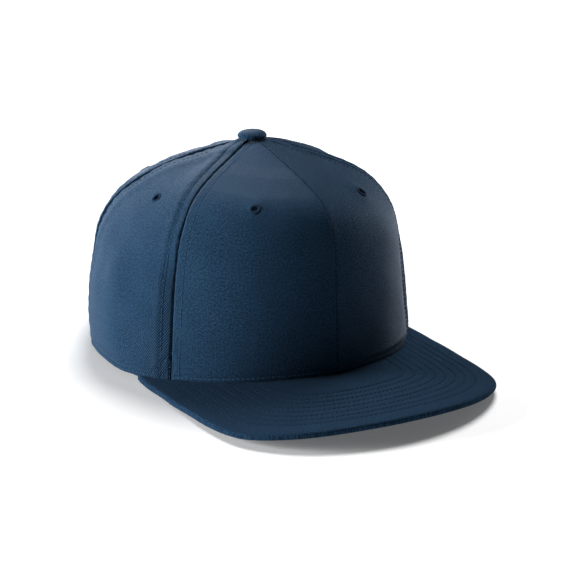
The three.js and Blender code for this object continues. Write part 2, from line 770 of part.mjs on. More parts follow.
// The place and the outward direction of a snap on a strap half
function snapPlace(way, inside) {
  const depth = strapDepth(way, inside);
  const point = backPoint(way, depth, STRAP_MIDDLE);
  const outwards = point.clone().sub(backPoint(way, depth + STRAP_THICKNESS, STRAP_MIDDLE)).normalize();
  return { point, outwards };
}

function snapWays(side) {
  const first = (-side * STRAP_OVERLAP) / 2 + side * SNAP_MARGIN;
  return Array.from({ length: SNAP_COUNT }, (_, i) => first + side * i * SNAP_PITCH);
}

function strapWithHoles(side) {
  let solid = solidOf(strapSlab(side, false));
  for (const way of snapWays(side)) {
    const { point, outwards } = snapPlace(way, false);
    const radius = PEG_NECK + PEG_CLEARANCE;
    const drill = new THREE.CylinderGeometry(radius, radius, DRILL_LENGTH, DRILL_SEGMENTS);
    solid = solid.subtract(solidOf(standOn(drill, point, outwards)));
  }
  return geometryFrom(solid);
}

function strapWithPegs(side) {
  let solid = solidOf(strapSlab(side, true));
  const neck = STRAP_THICKNESS + 2 * STRAP_GAP;
  for (const way of snapWays(side)) {
    const { point, outwards } = snapPlace(way, true);
    const peg = turned(
      [
        [0, -STRAP_THICKNESS / 2],
        [PEG_NECK, -STRAP_THICKNESS / 2],
        [PEG_NECK, neck],
        [PEG_HEAD * PEG_SHOULDER.radius, neck + PEG_HEAD_HEIGHT * PEG_SHOULDER.height],
        [PEG_HEAD * PEG_CROWN.radius, neck + PEG_HEAD_HEIGHT * PEG_CROWN.height],
        [0, neck + PEG_HEAD_HEIGHT],
      ],
      PEG_SEGMENTS,
    );
    solid = solid.add(solidOf(standOn(peg, point, outwards)));
  }
  return geometryFrom(solid);
}

// The inside band runs from one strap tab round the front to the other
function sweatband() {
  const stops = PANELS.flatMap((panel) => {
    const last = panel === REAR_PANEL ? bandEnd() : 1;
    const count = panel === REAR_PANEL ? BAND_REAR_COLUMNS : PANEL_COLUMNS;
    return Array.from({ length: count }, (_, i) => ({ panel, across: (last * (i + 1)) / count }));
  });
  const left = [{ panel: FRONT_PANEL, across: 0 }, ...stops].map((stop) => ({ ...stop, side: 1 }));
  const right = stops.map((stop) => ({ ...stop, side: -1 })).reverse();
  const ring = [...right, ...left];
  const shares = Array.from({ length: BAND_ROWS + 1 }, (_, i) => i / BAND_ROWS);
  const face = (depth) =>
    shares.map((share) =>
      ring.map(({ panel, side, across }) => {
        const point = crownPoint(panel, side, across, (share * BAND_HEIGHT) / CROWN_HEIGHT, depth);
        const angle = mix(panel.start.angle, panel.end.angle, across);
        point.z += (BAND_RISE - BAND_COVER * onVisor(angle)) * (1 - share);
        return point;
      }),
    );
  const depth = CLOTH + BAND_GAP;
  return slab(face(depth), face(depth + BAND_THICKNESS));
}

// How far across the rear panel the band's end stands, clear of the strap's tab
function bandEnd() {
  return BACK.find((row) => row.way >= ARCH_FOOT + STRAP_TAB + BAND_END_GAP).across;
}

// The tape follows the arch from foot to foot, behind the cloth
function archTape() {
  const turnAt = (i) => ((i / TAPE_STEPS) * Math.PI) / 2;
  const stops = [];
  for (let i = 0; i <= TAPE_STEPS; i += 1) stops.push({ side: -1, turn: turnAt(i) });
  for (let i = TAPE_STEPS - 1; i >= 0; i -= 1) stops.push({ side: 1, turn: turnAt(i) });
  const face = (depth) =>
    [0, TAPE_WIDTH].map((outwards) =>
      stops.map(({ side, turn }) => {
        const edge = archPoint(turn, outwards);
        const z = Math.max(edge.y, BAND_RISE);
        const { across } = backPlace(edge.x, z);
        const middle = turn === Math.PI / 2 ? 1 : across;
        return crownPoint(REAR_PANEL, side, middle, z / CROWN_HEIGHT, depth);
      }),
    );
  const outer = face(TAPE_DEPTH).map((line) => line.slice().reverse());
  const inner = face(TAPE_DEPTH + TAPE_THICKNESS).map((line) => line.slice().reverse());
  return slab(outer, inner);
}

function assemble() {
  const cap = new THREE.Group();
  for (const { side, suffix } of SIDES) {
    for (const panel of PANELS) {
      cap.add(mesh(`crown_${panel.name}_${suffix}`, crownPanel(panel, side), NAVY_CLOTH));
      cap.add(mesh(`eyelet_${panel.name}_${suffix}`, eyelet(panel, side), NAVY_CLOTH));
    }
  }
  cap.add(mesh("visor", visor(), NAVY_CLOTH));
  cap.add(mesh("top_button", button(), NAVY_CLOTH));
  cap.add(mesh("sweatband", sweatband(), DARK_CLOTH));
  cap.add(mesh("back_arch_tape", archTape(), DARK_CLOTH));
  cap.add(mesh("snap_strap_holes", strapWithHoles(1), NAVY_PLASTIC));
  cap.add(mesh("snap_strap_pegs", strapWithPegs(-1), NAVY_PLASTIC));
  return cap;
}

// The cap tips until it stands on the visor's two corners and the foot of its back rim
function restingTurn(cap) {
  const points = cap.getObjectByName("visor").geometry.attributes.position;
  let turn = -Infinity;
  for (let i = 0; i < points.count; i += 1) {
    turn = Math.max(turn, Math.atan2(-points.getZ(i), BACK_REACH - points.getY(i)));
  }
  return -turn;
}

// The origin is under the middle of the cap, on the table
function atRest(cap) {
  cap.rotation.x = restingTurn(cap);
  const part = new THREE.Group();
  part.add(cap);
  part.updateMatrixWorld(true);
  const box = new THREE.Box3().setFromObject(cap, true);
  cap.position.set(0, -(box.min.y + box.max.y) / 2, -box.min.z);
  part.updateMatrixWorld(true);
  return part;
}

export default atRest(assemble());
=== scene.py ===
# %% [markdown]
# A navy snapback cap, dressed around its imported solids. The solids give every size and place. This
# script turns each one into cloth, thread or plastic, adds the seams and the stitching that the solids
# leave out, and sets up the light and the camera. All lengths are in metres.

import math

import bmesh
import bpy
import numpy as np
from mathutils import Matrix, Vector
from mathutils.bvhtree import BVHTree
from mathutils.kdtree import KDTree


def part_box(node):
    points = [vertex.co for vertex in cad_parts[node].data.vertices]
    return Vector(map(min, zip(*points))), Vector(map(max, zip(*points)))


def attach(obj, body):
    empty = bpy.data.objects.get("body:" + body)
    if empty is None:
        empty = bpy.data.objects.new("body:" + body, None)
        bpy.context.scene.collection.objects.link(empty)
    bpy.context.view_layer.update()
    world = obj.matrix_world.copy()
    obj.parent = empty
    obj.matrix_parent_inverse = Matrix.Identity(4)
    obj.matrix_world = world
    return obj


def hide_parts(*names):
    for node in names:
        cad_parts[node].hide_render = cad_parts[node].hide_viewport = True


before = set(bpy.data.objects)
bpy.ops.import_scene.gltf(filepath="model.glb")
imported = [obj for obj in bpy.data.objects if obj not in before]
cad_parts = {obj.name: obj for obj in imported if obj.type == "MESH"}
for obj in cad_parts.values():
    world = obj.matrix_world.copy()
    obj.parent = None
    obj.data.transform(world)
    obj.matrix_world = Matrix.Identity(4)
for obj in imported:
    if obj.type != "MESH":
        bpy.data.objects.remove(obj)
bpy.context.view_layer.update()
MM = 0.001
button_low, button_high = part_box("top_button")
CROWN_AXIS = Vector(((button_low.x + button_high.x) / 2, (button_low.y + button_high.y) / 2, 0))
CROWN_MIDDLE = CROWN_AXIS + Vector((0, 0, 30 * MM))

# %% [markdown]
# The floor is a plain pale sheet. The cap was photographed in soft light from the left and from behind,
# so its front and its visor lie in soft shade while its left side, top and right edge are pale. Large
# area lights give that, because a large light has soft edges. The world and the floor glow a little, so
# that the shade isn't black.

# %% Lay the floor and hang the lights
VIEW_AZIMUTH = math.radians(-28.2)
VIEW_ELEVATION = math.radians(18.3)
FLOOR_SIZE = 8
LIGHTS = [
    {"name": "high_back_softbox", "turn": 160, "height": 60, "watts": 31},
    {"name": "left_softbox", "turn": -83, "height": 8, "watts": 66},
    {"name": "right_back_softbox", "turn": 130, "height": 20, "watts": 2},
]
LIGHT_DISTANCE = 1.6
LIGHT_SIZE = 0.9
WORLD_BRIGHTNESS = 0.03
FLOOR_GLOW = 0.15


def plain_material(name, colour, roughness):
    """A material with one colour, for what isn't part of the cap."""
    material = bpy.data.materials.new(name)
    material.use_nodes = True
    shader = material.node_tree.nodes["Principled BSDF"]
    shader.inputs["Base Color"].default_value = (*colour, 1)
    shader.inputs["Roughness"].default_value = roughness
    return material


def lay_floor():
    bpy.ops.mesh.primitive_plane_add(size=FLOOR_SIZE)
    floor = bpy.context.object
    floor.name = "studio_floor"
    pale = plain_material("pale_floor", (0.86, 0.86, 0.86), 0.9)
    shader = pale.node_tree.nodes["Principled BSDF"]
    shader.inputs["Emission Color"].default_value = (1, 1, 1, 1)
    shader.inputs["Emission Strength"].default_value = FLOOR_GLOW
    floor.data.materials.append(pale)


def direction(turn, height):
    """The way from the cap to a place at this turn round it and this height, in radians."""
    flat = math.cos(height)
    return Vector((math.sin(turn) * flat, -math.cos(turn) * flat, math.sin(height)))


def hang_lights():
    """Each light's turn is measured from the camera, and a minus is to the camera's left."""
    for light in LIGHTS:
        data = bpy.data.lights.new(light["name"], "AREA")
        data.shape = "DISK"
        data.size = LIGHT_SIZE
        data.energy = light["watts"]
        lamp = bpy.data.objects.new(light["name"], data)
        bpy.context.scene.collection.objects.link(lamp)
        way = direction(VIEW_AZIMUTH + math.radians(light["turn"]), math.radians(light["height"]))
        lamp.location = CROWN_MIDDLE + way * LIGHT_DISTANCE
        lamp.rotation_euler = (-way).to_track_quat("-Z", "Y").to_euler()


def brighten_world():
    world = bpy.data.worlds.new("studio_air")
    bpy.context.scene.world = world
    world.use_nodes = True
    world.node_tree.nodes["Background"].inputs["Color"].default_value = (1, 1, 1, 1)
    world.node_tree.nodes["Background"].inputs["Strength"].default_value = WORLD_BRIGHTNESS


lay_floor()
hang_lights()
brighten_world()

# %% [markdown]
# The camera looks at the cap from its right front, a little from above, through a long lens, as in the
# photograph. The point that it looks at lies beside the cap's middle, because the photograph's frame
# isn't centred on the cap.

# %% Place the camera
VIEW_DISTANCE = 1.4
VIEW_POINT = Vector((0, 16.2 * MM, 60 * MM))
FRAME_RIGHT = 13.8 * MM
FRAME_DOWN = 23.2 * MM
IMAGE_PIXELS = 576
PIXELS_PER_METRE = 1795
SENSOR_WIDTH = 36
PHOTO_GAMMA = 0.85


def place_camera():
    data = bpy.data.cameras.new("photo_camera")
    data.sensor_width = SENSOR_WIDTH
    data.lens = PIXELS_PER_METRE * VIEW_DISTANCE / IMAGE_PIXELS * SENSOR_WIDTH
    data.clip_end = 20
    camera = bpy.data.objects.new("photo_camera", data)
    bpy.context.scene.collection.objects.link(camera)
    back = direction(VIEW_AZIMUTH, VIEW_ELEVATION)
    right = Vector((math.cos(VIEW_AZIMUTH), math.sin(VIEW_AZIMUTH), 0))
    up = back.cross(right)
    camera.location = VIEW_POINT + back * VIEW_DISTANCE
    target = VIEW_POINT + right * FRAME_RIGHT - up * FRAME_DOWN
    camera.rotation_euler = (target - camera.location).to_track_quat("-Z", "Y").to_euler()
    bpy.context.scene.camera = camera


place_camera()
bpy.context.scene.view_settings.view_transform = "Standard"
bpy.context.scene.view_settings.gamma = PHOTO_GAMMA

# %% [markdown]
# Every cloth on this cap is a navy twill: fine slanting ribs, a soft fuzz and small differences from
# thread to thread. A flat colour would look like plastic. The ribs are a wave across the cloth's own
# map, so they follow the panel as the real weave does, and fine noise breaks them up as the fuzz does.
# Sheen gives the pale bloom that cloth has where it turns away from the eye.

# %% Weave the materials
NAVY_DEEP = (0.0030, 0.0165, 0.039)
NAVY_FUZZ = (0.0300, 0.0770, 0.138)
# The colour below is the crown's thread with painted shade: darker, for the shade in the visor's stitch
# grooves. The eyelets and the arch's rows use it too.
THREAD_PAINTED_SHADE = (0.006, 0.021, 0.044)
THREAD_PALE = (0.026, 0.070, 0.125)
THREAD_SPREAD = 1.7
PLASTIC_NAVY = (0.012, 0.030, 0.060)
FUZZ = {"scale": 1500.0, "tone": 2.6}
THREADS = {"scale": 950.0, "tone": 1.9}
PATCHES = {"scale": 60.0, "tone": 0.3}
RIB_WANDER = 60.0
WANDER_REACH = 0.3
CLOTH_BUMP = 0.25 * MM
CLOTH_ROUGHNESS = 0.9
CLOTH_GLOSS = 0.08


class Nodes:
    """A short way to add and join the nodes of one material."""

    def __init__(self, name):
        self.material = bpy.data.materials.new(name)
        self.material.use_nodes = True
        self.tree = self.material.node_tree
        self.shader = self.tree.nodes["Principled BSDF"]

    def add(self, kind, inputs=None, **settings):
        node = self.tree.nodes.new(kind)
        for key, value in settings.items():
            setattr(node, key, value)
        for key, value in (inputs or {}).items():
            self.feed(node.inputs[key], value)
        return node

    def feed(self, socket, value):
        if isinstance(value, bpy.types.NodeSocket):
            self.tree.links.new(value, socket)
        else:
            socket.default_value = value

    def math(self, operation, first, second=0.0):
        return self.add("ShaderNodeMath", {0: first, 1: second}, operation=operation).outputs[0]

    def noise(self, place, scale, detail=2.0):
        node = self.add("ShaderNodeTexNoise", {"Vector": place, "Scale": scale, "Detail": detail})
        return node.outputs["Fac"]

    def mix(self, share, first, second):
        node = self.add("ShaderNodeMix", {"Factor": share}, data_type="RGBA")
        self.feed(node.inputs[6], first)
        self.feed(node.inputs[7], second)
        return node.outputs[2]

    def finish(self, roughness, specular, sheen=0.0, sheen_roughness=0.5, sheen_tint=(1, 1, 1)):
        self.shader.inputs["Roughness"].default_value = roughness
        self.shader.inputs["Specular IOR Level"].default_value = specular
        self.shader.inputs["Sheen Weight"].default_value = sheen
        self.shader.inputs["Sheen Roughness"].default_value = sheen_roughness
        self.shader.inputs["Sheen Tint"].default_value = (*sheen_tint, 1)
        return self.material


def twill(name, rib_across, rib_slant, rib_tone, sheen, painted_shade=1.0, mapped=True):
    """Twill cloth. Ribs stand rib_across apart, and lean by rib_slant along for each length up."""
    nodes = Nodes(name)
    if mapped:
        place = nodes.add("ShaderNodeUVMap", uv_map="grain").outputs["UV"]
        show = nodes.add("ShaderNodeAttribute", attribute_name="tightness").outputs["Fac"]
        strength = nodes.math("MULTIPLY", show, rib_tone)
    else:
        place = nodes.add("ShaderNodeTexCoord").outputs["Object"]
        strength = rib_tone
    parts = nodes.add("ShaderNodeSeparateXYZ", {0: place})
    slid = nodes.math("MULTIPLY", parts.outputs["Y"], -rib_slant)
    across = nodes.math("ADD", parts.outputs["X"], slid)
    wander = nodes.math("MULTIPLY", nodes.noise(place, RIB_WANDER), WANDER_REACH * rib_across)
    phase = nodes.math("MULTIPLY", nodes.math("ADD", across, wander), 2 * math.pi / rib_across)
    rib = nodes.math("MULTIPLY", nodes.math("SINE", phase), strength)
    fuzz = nodes.noise(place, FUZZ["scale"], 3.0)
    tone = rib
    for speckle in (FUZZ, THREADS, PATCHES):
        field = nodes.math("SUBTRACT", nodes.noise(place, speckle["scale"], 3.0), 0.5)
        tone = nodes.math("ADD", tone, nodes.math("MULTIPLY", field, speckle["tone"]))
    share = nodes.add("ShaderNodeMapRange", {0: tone, 1: -0.5, 2: 0.5}).outputs[0]
    # Both colours are multiplied by the painted shade factor, so a copy of the cloth can be given
    # painted shade.
    deep, pale = [(*[painted_shade * c for c in colour], 1) for colour in (NAVY_DEEP, NAVY_FUZZ)]
    nodes.feed(nodes.shader.inputs["Base Color"], nodes.mix(share, deep, pale))
    height = nodes.math("ADD", rib, fuzz)
    bump = nodes.add("ShaderNodeBump", {"Height": height, "Distance": CLOTH_BUMP, "Strength": 1.0})
    nodes.feed(nodes.shader.inputs["Normal"], bump.outputs["Normal"])
    return nodes.finish(CLOTH_ROUGHNESS, CLOTH_GLOSS, sheen, 0.35, (0.82, 0.88, 1.0))


def thread_material(name, colour):
    nodes = Nodes(name)
    place = nodes.add("ShaderNodeTexCoord").outputs["Object"]
    share = nodes.noise(place, 900.0, 2.0)
    pale = tuple(THREAD_SPREAD * c for c in colour)
    nodes.feed(nodes.shader.inputs["Base Color"], nodes.mix(share, (*colour, 1), (*pale, 1)))
    bump = nodes.add("ShaderNodeBump", {"Height": share, "Distance": 0.1 * MM, "Strength": 0.8})
    nodes.feed(nodes.shader.inputs["Normal"], bump.outputs["Normal"])
    return nodes.finish(0.75, 0.15, 0.1, 0.4, (0.5, 0.7, 1.0))


def plastic_material():
    nodes = Nodes("navy_plastic")
    place = nodes.add("ShaderNodeTexCoord").outputs["Object"]
    grain = nodes.noise(place, 2200.0, 2.0)
    patches = nodes.noise(place, 80.0, 2.0)
    pale = tuple(1.5 * c for c in PLASTIC_NAVY)
    nodes.feed(nodes.shader.inputs["Base Color"], nodes.mix(patches, (*PLASTIC_NAVY, 1), (*pale, 1)))
    bump = nodes.add("ShaderNodeBump", {"Height": grain, "Distance": 0.04 * MM, "Strength": 0.6})
    nodes.feed(nodes.shader.inputs["Normal"], bump.outputs["Normal"])
    return nodes.finish(0.42, 0.5)


CROWN_TWILL = twill("crown_twill", 1.25 * MM, 0.7, 0.9, 0.38)
# The visor's cloth is the crown's twill with painted shade: its colours are darkened to 0.85 for the
# shade that it lies in under the crown.
VISOR_TWILL = twill("visor_twill", 1.05 * MM, 0.04, 0.6, 0.05, painted_shade=0.85)
BAND_TWILL = twill("band_twill", 0.8 * MM, 0.9, 0.25, 0.1, mapped=False)
CROWN_THREAD = thread_material("crown_thread", THREAD_PALE)
# This thread material is the crown's thread with painted shade, used for the visor, the eyelets and the
# arch.
PAINTED_SHADE_THREAD = thread_material("painted_shade_thread", THREAD_PAINTED_SHADE)
PLASTIC = plastic_material()

# %% [markdown]
# The solids arrive as loose triangles. A copy is merged and its triangles are paired into four-sided
# faces, because those bevel and subdivide cleanly. The copy becomes the piece that shows, and the solid
# behind it is hidden.

# %% Copy a solid as a clean mesh
MERGE_DISTANCE = 0.01 * MM
SHARP_ANGLE = math.radians(50)


def only(*things):
    """Selects these objects alone, with the first one active."""
    bpy.ops.object.select_all(action="DESELECT")
    for thing in things:
        thing.select_set(True)
    bpy.context.view_layer.objects.active = things[0]


def copy_of(node, name):
    piece = bpy.data.objects.new(name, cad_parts[node].data.copy())
    bpy.context.scene.collection.objects.link(piece)
    piece.data.name = name
    piece.data.materials.clear()
    only(piece)
    if piece.data.has_custom_normals:
        bpy.ops.mesh.customdata_custom_splitnormals_clear()
    bpy.ops.object.mode_set(mode="EDIT")
    bpy.ops.mesh.select_all(action="SELECT")
    bpy.ops.mesh.remove_doubles(threshold=MERGE_DISTANCE)
    pairing = math.radians(100)
    bpy.ops.mesh.tris_convert_to_quads(face_threshold=math.radians(40), shape_threshold=pairing)
    bpy.ops.object.mode_set(mode="OBJECT")
    return piece


def change(piece, kind, **settings):
    """Adds a modifier and applies it at once."""
    only(piece)
    modifier = piece.modifiers.new(kind.lower(), kind)
    for key, value in settings.items():
        setattr(modifier, key, value)
    bpy.ops.object.modifier_apply(modifier=modifier.name)


def crease_sharp_edges(piece):
    """Keeps a piece's sharp edges sharp when it is subdivided."""
    only(piece)
    bpy.ops.object.mode_set(mode="EDIT")
    bpy.ops.mesh.select_all(action="DESELECT")
    bpy.ops.mesh.select_mode(type="EDGE")
    bpy.ops.mesh.edges_select_sharp(sharpness=SHARP_ANGLE)
    bpy.ops.transform.edge_crease(value=1)
    bpy.ops.mesh.select_mode(type="VERT")
    bpy.ops.object.mode_set(mode="OBJECT")


def points_of(piece):
    points = np.empty(len(piece.data.vertices) * 3)
    piece.data.vertices.foreach_get("co", points)
    return points.reshape(-1, 3)


def normals_of(piece):
    normals = np.empty(len(piece.data.vertices) * 3)
    piece.data.vertices.foreach_get("normal", normals)
    return normals.reshape(-1, 3)


def set_points(piece, points):
    piece.data.vertices.foreach_set("co", points.ravel())
    piece.data.update()


def tree_of(piece):
    faces = [tuple(face.vertices) for face in piece.data.polygons]
    return BVHTree.FromPolygons([v.co for v in piece.data.vertices], faces)


def done(piece, material, slot, *nodes):
    """Gives a finished piece its material and a smooth surface; the slot is not used."""
    piece.data.materials.append(material)
    only(piece)
    bpy.ops.object.shade_smooth_by_angle(angle=math.radians(50))
    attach(piece, "root")
    if nodes:
        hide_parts(*nodes)
    return piece


# %% [markdown]
# Six panels make the crown. Each seam line is where two solids stand next to each other, so it is found
# by asking which corners of one solid lie close to its neighbour. The outline of each panel is kept in
# four parts, the seams, the rim, the arch at the back and the eyelet's hole, because stitching follows
# each of them at its own distance.

# %% Find the panels' outlines
SIDES = {"left": 1, "right": -1}
PANEL_NAMES = [f"{place}_{side}" for place in ("front", "side", "rear") for side in SIDES]
SEAMS = [
    ("front_left", "front_right", False),
    ("front_left", "side_left", True),
    ("front_right", "side_right", True),
    ("side_left", "rear_left", True),
    ("side_right", "rear_right", True),
    ("rear_left", "rear_right", True),
]
NEAR_NEIGHBOUR = 0.6 * MM
WALL = 2.6 * MM
TIP_RADIUS = 8 * MM
HOLE_RADIUS = 9 * MM
REAR_RIM_TOP = 4 * MM
ARCH_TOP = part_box("back_arch_tape")[1].z
NEAR_RIM = 14 * MM
RIM_TOP = 16 * MM
OUTLINE_STEP = 0.5 * MM


def outer_ones(points):
    """Of the outline's points on both faces of the wall, those on the outside."""
    middle = np.array(CROWN_MIDDLE)
    kept = []
    for point in points:
        away = np.linalg.norm(points - point, axis=1)
        twins = points[(away > 1e-6) & (away < WALL)]
        far = np.linalg.norm(point - middle)
        if all(far > np.linalg.norm(twin - middle) for twin in twins):
            kept.append(point)
    return np.array(kept)


def smooth_line(points):
    """Even points on a smooth curve through a few points."""
    first = 2 * points[0] - points[1]
    last = 2 * points[-1] - points[-2]
    p = np.vstack([first, points, last])
    t = np.linspace(0, 1, 24, endpoint=False)[:, None]
    curve = []
    for a, b, c, d in zip(p, p[1:], p[2:], p[3:]):
        bend = (2 * a - 5 * b + 4 * c - d) * t**2
        twist = (3 * b - a - 3 * c + d) * t**3
        curve.append(0.5 * (2 * b + (c - a) * t + bend + twist))
    return even_line(np.vstack([*curve, points[-1:]]), OUTLINE_STEP)


def even_line(line, step):
    way = np.concatenate([[0], np.cumsum(np.linalg.norm(np.diff(line, axis=0), axis=1))])
    stops = np.linspace(0, way[-1], max(int(round(way[-1] / step)), 1) + 1)
    return np.stack([np.interp(stops, way, line[:, k]) for k in range(3)], axis=1)


def outline_parts(blank, panel):
    """The corners on the panel's outline, sorted into seams, rim, arch and hole."""
    neighbours = [tree_of(blanks[a if b == panel else b]) for a, b, _ in SEAMS if panel in (a, b)]
    low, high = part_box(f"eyelet_{panel}")
    eyelet = (low + high) / 2
    mesh = bmesh.new()
    mesh.from_mesh(blank.data)
    parts = {"seam": [], "rim": [], "arch": [], "hole": [], "tip": []}
    edges = [e for e in mesh.edges if e.is_manifold and e.calc_face_angle() > SHARP_ANGLE]
    for corner in {corner for edge in edges for corner in edge.verts}:
        point = corner.co
        if (point - eyelet).length < HOLE_RADIUS:
            part = "hole"
        elif (point - CROWN_AXIS).xy.length < TIP_RADIUS:
            part = "tip"
        elif any(tree.find_nearest(point, NEAR_NEIGHBOUR)[0] for tree in neighbours):
            part = "seam"
        elif point.z > ARCH_TOP:
            continue
        elif panel.startswith("rear") and point.z > REAR_RIM_TOP:
            part = "arch"
        else:
            part = "rim"
        parts[part].append(tuple(point))
    mesh.free()
    return {name: np.array(points) for name, points in parts.items()}


blanks = {panel: copy_of(f"crown_{panel}", f"crown_{panel}_cloth") for panel in PANEL_NAMES}
outlines = {panel: outline_parts(blanks[panel], panel) for panel in PANEL_NAMES}
for panel, parts in outlines.items():
    print(panel, {name: len(points) for name, points in parts.items()})


def seam_line(first, second):
    """The seam between two panels on the outside, from the top down."""
    tree = tree_of(blanks[second])
    corners = outlines[first]["seam"]
    shared = np.array([p for p in corners if tree.find_nearest(Vector(p), NEAR_NEIGHBOUR)[0]])
    outer = outer_ones(shared)
    return smooth_line(outer[np.argsort(-outer[:, 2])])


seam_lines = {(a, b): seam_line(a, b) for a, b, _ in SEAMS}
print("seam lengths in mm:", [round(len(line) * OUTLINE_STEP / MM) for line in seam_lines.values()])


def rim_line(panel):
    """The panel's lower edge on the outside, from front to back."""
    parts = outlines[panel]
    low_seam = [p for p in parts["seam"] if np.abs(parts["rim"] - p).max(axis=1).min() < NEAR_RIM]
    outer = outer_ones(np.vstack([parts["rim"], *[[p] for p in low_seam]]))
    outer = outer[outer[:, 2] < RIM_TOP]
    turn = np.arctan2(np.abs(outer[:, 0]), CROWN_AXIS.y - outer[:, 1])
    return smooth_line(outer[np.argsort(turn)])


rim_lines = {panel: rim_line(panel) for panel in PANEL_NAMES}
print("rim lengths in mm:", [round(len(line) * OUTLINE_STEP / MM) for line in rim_lines.values()])

# %% [markdown]
# Each panel is bevelled at its edges, where the cloth turns in to the seam, and subdivided until it is
# smooth. Then it is pressed into relief: the cloth dips at the seam, is thicker over the turned-in
# allowance, dips again along the stitching and swells a little beside it. Moving the corners by their
# distance to the seam gives that relief everywhere at once. The walls of two neighbours are moved
# together, because sewn cloth lets no light through. The centre seam grows faint towards the button.

# %% Shape the crown panels
EDGE_ROUND = 0.7 * MM
SMOOTH_LEVELS = 3
STITCH_OFFSET = 5.6 * MM
RIM_OFFSET = 2.6 * MM
ARCH_OFFSETS = (1.8 * MM, 7.6 * MM)
SEAM_RELIEF = {
    "front": [
        {"at": 0.0, "width": 0.8, "out": -0.95},
        {"at": 5.6, "width": 0.6, "out": -0.14},
    ],
    "side": [
        {"at": 0.0, "width": 0.8, "out": -0.95},
        {"at": 5.6, "width": 0.8, "out": -0.26},
        {"at": 8.6, "width": 2.4, "out": 0.4},
    ],
    "rear": [
        {"at": 0.0, "width": 5.5, "out": -0.9},
        {"at": 0.0, "width": 0.8, "out": -0.1},
        {"at": 5.6, "width": 0.8, "out": -0.1},
        {"at": 11.0, "width": 4.5, "out": 0.6},
    ],
}
PLAIN_SEAM = {"width": 0.7, "low": -0.8, "high": -0.1, "from": 60 * MM, "to": 112 * MM}
EDGE_RELIEF = [
    {"at": 2.6, "width": 0.7, "out": -0.35},
    {"at": 4.8, "width": 1.5, "out": 0.22},
]
ARCH_RELIEF = [
    {"at": 1.8, "width": 0.7, "out": -0.3},
    {"at": 4.6, "width": 1.6, "out": 0.3},
    {"at": 7.6, "width": 0.7, "out": -0.35},
    {"at": 9.8, "width": 1.5, "out": 0.2},
]
PUFF = {"from": 70 * MM, "to": 105 * MM, "at": 10 * MM, "width": 6 * MM, "out": 0.5 * MM}
EDGE_FACING = 0.6
SEAM_SHUT = 0.17 * MM
PUCKER_PITCH = 6.5 * MM
PUCKER_SHARE = 0.2
SOFT_WAVE = {"side": 0.45, "rear": 0.4, "front": 0.12}


def share_between(values, low, high):
    """0 up to the low value, 1 from the high one on, and even between them."""
    return np.clip((values - low) / (high - low), 0, 1)


def relief(distance, rows):
    """How far the cloth stands out at these distances, in metres."""
    away = distance / MM
    return MM * sum(r["out"] * np.exp(-(((away - r["at"]) / r["width"]) ** 2)) for r in rows)


def near_tree(points):
    tree = KDTree(len(points))
    for i, point in enumerate(points):
        tree.insert(point, i)
    tree.balance()
    return tree


def distances(points, line):
    """Each point's distance to a line of close points, and how far along the line that is."""
    tree = near_tree(line)
    found = [tree.find(point)[1:] for point in points]
    return np.array([d for _, d in found]), np.array([i for i, _ in found]) * OUTLINE_STEP


def soft_noise(points, size, seed):
    """A smooth random surface between about -1 and 1, the same on each run."""
    draw = np.random.default_rng(seed)
    total = np.zeros(len(points))
    for _ in range(7):
        course = draw.normal(size=3)
        course /= np.linalg.norm(course)
        stretch = draw.uniform(0.7, 1.6)
        start = draw.uniform(0, 2 * math.pi)
        total += np.sin(points @ course * (2 * math.pi / size) * stretch + start)
    return total / 3.5


def lay_grain(piece, mark):
    """A map for the weave: along the panel's middle the threads run straight up."""
    points = points_of(piece)
    x, y = points[:, 0] - CROWN_AXIS.x, CROWN_AXIS.y - points[:, 1]
    turn, reach = np.arctan2(x, y), np.hypot(x, y)
    turn = np.where(turn - mark > math.pi, turn - 2 * math.pi, turn)
    turn = np.where(turn - mark < -math.pi, turn + 2 * math.pi, turn)
    levels = np.linspace(points[:, 2].min(), points[:, 2].max(), 40)
    mean = np.array([reach[np.abs(points[:, 2] - z) < 5 * MM].mean() for z in levels])
    climb = np.concatenate([[0], np.cumsum(np.hypot(np.diff(levels), np.diff(mean)))])
    across = (turn - mark) * reach
    up = np.interp(points[:, 2], levels, climb)
    write_map(piece, across, up)


def write_tightness(piece, tight):
    layer = piece.data.attributes.new("tightness", "FLOAT", "POINT")
    layer.data.foreach_set("value", tight.astype(np.float32))


def write_map(piece, across, up):
    layer = piece.data.uv_layers.get("grain") or piece.data.uv_layers.new(name="grain")
    corners = np.empty(len(piece.data.loops), dtype=np.int32)
    piece.data.loops.foreach_get("vertex_index", corners)
    layer.data.foreach_set("uv", np.stack([across[corners], up[corners]], axis=1).ravel())


SLACK = 0.22
TIGHT_BAND = 8 * MM
TIGHT_HEIGHT = 75 * MM
TIGHT_SPREAD = 16 * MM


def mark_tightness(piece, panel):
    """The twill's ribs show where the cloth is drawn over the side seam's allowance, low down most."""
    points = points_of(piece)
    tight = np.full(len(points), SLACK)
    seam = seam_lines.get(("front_" + panel.split("_")[1], panel))
    if seam is not None:
        distance, _ = distances(points, seam)
        low = np.clip(1 - points[:, 2] / TIGHT_HEIGHT, 0, 1)
        reach = TIGHT_BAND + TIGHT_SPREAD * low**3
        tight += (1 - SLACK) * np.exp(-((distance / reach) ** 4)) * np.minimum(low * 3, 1)
    write_tightness(piece, tight)


PANEL_TURNS = {"front": 30, "side": 90, "rear": 150}


